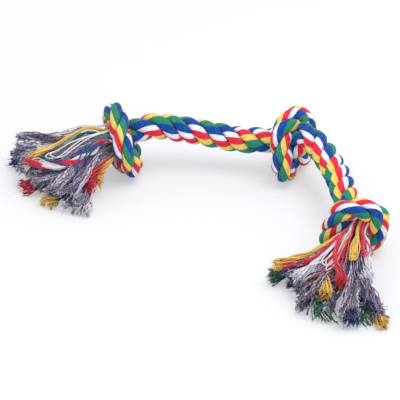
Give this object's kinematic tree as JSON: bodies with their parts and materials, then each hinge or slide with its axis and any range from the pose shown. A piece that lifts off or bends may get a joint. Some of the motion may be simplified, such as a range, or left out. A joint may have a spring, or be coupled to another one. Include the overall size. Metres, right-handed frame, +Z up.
{
  "type": "rope dog toy",
  "caption": "Chew and tug toy for dogs: a thick laid cotton rope in coloured stripes, tied in overhand knots along its length, with both ends unlaid into loose tassels.",
  "frame": {"origin": "on the surface that the toy lies on, under the middle of its box", "axes": "+Z up; +X from the tassel on the left, along the first rope, towards the middle knot; the second rope and its tassel run towards -Y"},
  "size_m": [0.3032, 0.2616, 0.0613],
  "materials": {
    "striped_strand": "soft matt cotton yarn in lengthwise stripes of blue, green, yellow, red and white",
    "blue_yarn": "loose cotton yarn, matt and slightly fuzzy",
    "green_yarn": "loose cotton yarn, matt and slightly fuzzy",
    "yellow_yarn": "loose cotton yarn, matt and slightly fuzzy",
    "red_yarn": "loose cotton yarn, matt and slightly fuzzy",
    "white_yarn": "loose cotton yarn, matt and slightly fuzzy",
    "grey_yarn": "loose mixed waste cotton, grey with light and dark flecks, matt and fuzzy"
  },
  "bodies": {
    "middle_knot": {"middle_knot_strand_1": "striped_strand", "middle_knot_strand_2": "striped_strand", "middle_knot_strand_3": "striped_strand"},
    "left_rope_near": {"left_rope_near_strand_1": "striped_strand", "left_rope_near_strand_2": "striped_strand", "left_rope_near_strand_3": "striped_strand"},
    "left_rope_far": {"left_rope_far_strand_1": "striped_strand", "left_rope_far_strand_2": "striped_strand", "left_rope_far_strand_3": "striped_strand"},
    "left_knot": {"left_knot_strand_1": "striped_strand", "left_knot_strand_2": "striped_strand", "left_knot_strand_3": "striped_strand"},
    "right_rope_near": {"right_rope_near_strand_1": "striped_strand", "right_rope_near_strand_2": "striped_strand", "right_rope_near_strand_3": "striped_strand"},
    "right_rope_far": {"right_rope_far_strand_1": "striped_strand", "right_rope_far_strand_2": "striped_strand", "right_rope_far_strand_3": "striped_strand"},
    "right_knot": {"right_knot_strand_1": "striped_strand", "right_knot_strand_2": "striped_strand", "right_knot_strand_3": "striped_strand"},
    "left_tassel": {"left_tassel_strand_1_blue_yarn": "blue_yarn", "left_tassel_strand_1_green_yarn": "green_yarn", "left_tassel_strand_1_yellow_yarn": "yellow_yarn", "left_tassel_strand_1_red_yarn": "red_yarn", "left_tassel_strand_1_white_yarn": "white_yarn", "left_tassel_strand_1_grey_yarn": "grey_yarn", "left_tassel_strand_2_blue_yarn": "blue_yarn", "left_tassel_strand_2_green_yarn": "green_yarn", "left_tassel_strand_2_yellow_yarn": "yellow_yarn", "left_tassel_strand_2_red_yarn": "red_yarn", "left_tassel_strand_2_white_yarn": "white_yarn", "left_tassel_strand_2_grey_yarn": "grey_yarn", "left_tassel_strand_3_blue_yarn": "blue_yarn", "left_tassel_strand_3_green_yarn": "green_yarn", "left_tassel_strand_3_yellow_yarn": "yellow_yarn", "left_tassel_strand_3_red_yarn": "red_yarn", "left_tassel_strand_3_white_yarn": "white_yarn", "left_tassel_strand_3_grey_yarn": "grey_yarn"},
    "right_tassel": {"right_tassel_strand_1_blue_yarn": "blue_yarn", "right_tassel_strand_1_green_yarn": "green_yarn", "right_tassel_strand_1_yellow_yarn": "yellow_yarn", "right_tassel_strand_1_red_yarn": "red_yarn", "right_tassel_strand_1_white_yarn": "white_yarn", "right_tassel_strand_1_grey_yarn": "grey_yarn", "right_tassel_strand_2_blue_yarn": "blue_yarn", "right_tassel_strand_2_green_yarn": "green_yarn", "right_tassel_strand_2_yellow_yarn": "yellow_yarn", "right_tassel_strand_2_red_yarn": "red_yarn", "right_tassel_strand_2_white_yarn": "white_yarn", "right_tassel_strand_2_grey_yarn": "grey_yarn", "right_tassel_strand_3_blue_yarn": "blue_yarn", "right_tassel_strand_3_green_yarn": "green_yarn", "right_tassel_strand_3_yellow_yarn": "yellow_yarn", "right_tassel_strand_3_red_yarn": "red_yarn", "right_tassel_strand_3_white_yarn": "white_yarn", "right_tassel_strand_3_grey_yarn": "grey_yarn"}
  },
  "joints": [
    {"name": "left_bend_inner", "type": "hinge", "parent": "middle_knot", "child": "left_rope_near", "pos_m": [0.04476, 0.10027, 0.03052], "axis": [0, 0, 1], "range_deg": [-20, 20]},
    {"name": "left_lift", "type": "hinge", "parent": "left_rope_near", "child": "left_rope_far", "pos_m": [0.00332, 0.10341, 0.03481], "axis": [0.0488, 0.9988, 0], "range_deg": [0, 35]},
    {"name": "left_bend_outer", "type": "hinge", "parent": "left_rope_far", "child": "left_knot", "pos_m": [-0.03772, 0.10135, 0.04278], "axis": [0, 0, 1], "range_deg": [-20, 20]},
    {"name": "left_tassel_sway", "type": "hinge", "parent": "left_knot", "child": "left_tassel", "pos_m": [-0.0797, 0.09434, 0.02817], "axis": [0, 0, 1], "range_deg": [-15, 15]},
    {"name": "right_bend_inner", "type": "hinge", "parent": "middle_knot", "child": "right_rope_near", "pos_m": [0.09148, 0.07766, 0.04039], "axis": [0, 0, 1], "range_deg": [-20, 20]},
    {"name": "right_lift", "type": "hinge", "parent": "right_rope_near", "child": "right_rope_far", "pos_m": [0.10628, 0.04121, 0.03998], "axis": [-0.9594, -0.282, 0], "range_deg": [0, 35]},
    {"name": "right_bend_outer", "type": "hinge", "parent": "right_rope_far", "child": "right_knot", "pos_m": [0.11446, 0.00338, 0.036], "axis": [0, 0, 1], "range_deg": [-20, 20]},
    {"name": "right_tassel_sway", "type": "hinge", "parent": "right_knot", "child": "right_tassel", "pos_m": [0.11895, -0.04026, 0.02461], "axis": [0, 0, 1], "range_deg": [-15, 15]}
  ],
  "couplings": [
    {"joint": "left_bend_outer", "follows": "left_bend_inner", "ratio": 1},
    {"joint": "right_bend_outer", "follows": "right_bend_inner", "ratio": 1}
  ]
}
